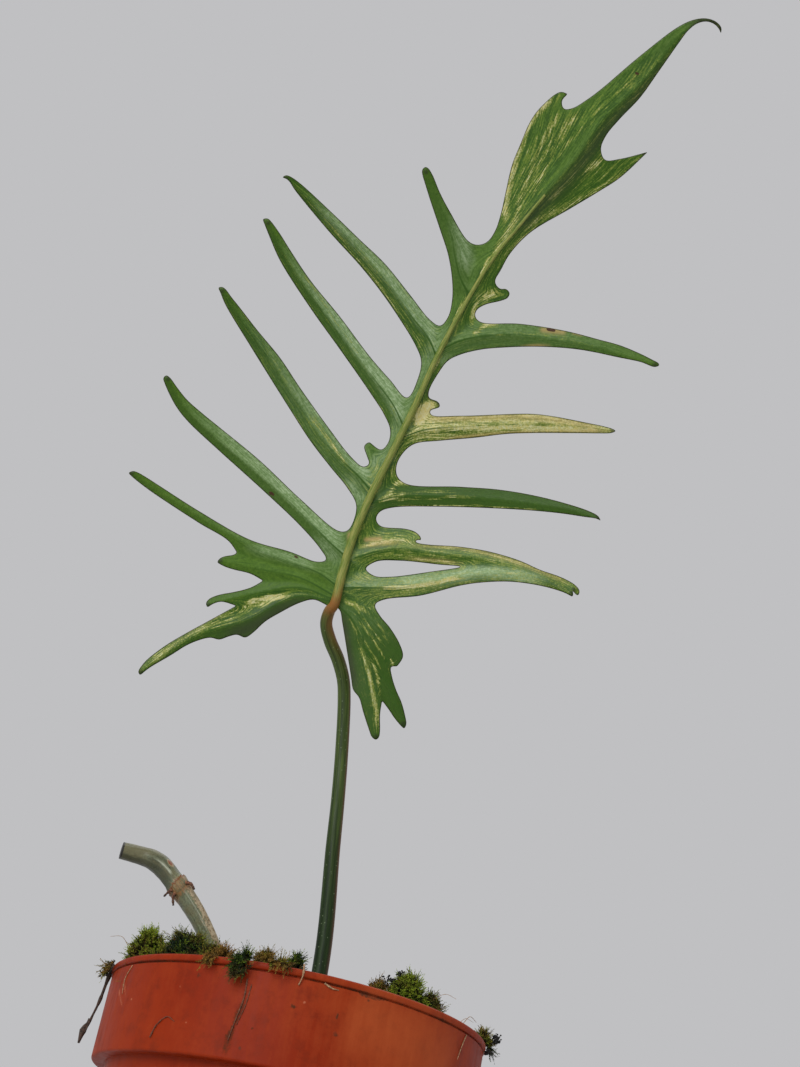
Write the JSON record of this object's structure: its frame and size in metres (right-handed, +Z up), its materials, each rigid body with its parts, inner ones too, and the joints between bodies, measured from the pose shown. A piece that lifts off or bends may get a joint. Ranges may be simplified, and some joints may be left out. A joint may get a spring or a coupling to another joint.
{
  "type": "potted florida beauty philodendron",
  "caption": "Deeply lobed, cream-streaked leaf on one petiole in a terracotta-coloured nursery pot, with moss and a cut old stem.",
  "frame": {"origin": "centre of the pot's base, on the surface that it stands on", "axes": "+Z up along the pot's axis; -Y towards the side that the leaf leans to and shows its underside; +X to the right seen from there"},
  "size_m": [0.1884, 0.2259, 0.456],
  "materials": {
    "pot": "satin terracotta-coloured plastic, soil-stained",
    "soil": "loose dark potting mix",
    "leaf": "semi-gloss green with cream streaks, dark margins",
    "old_stem": "smooth grey-green with a papery brown node",
    "moss": "fine matt moss"
  },
  "bodies": {
    "root": {"pot": "pot", "soil": "soil", "leaf": "leaf", "old_stem": "old_stem", "moss_left": "moss", "moss_front": "moss", "moss_right": "moss", "moss_rim": "moss"}
  },
  "joints": []
}
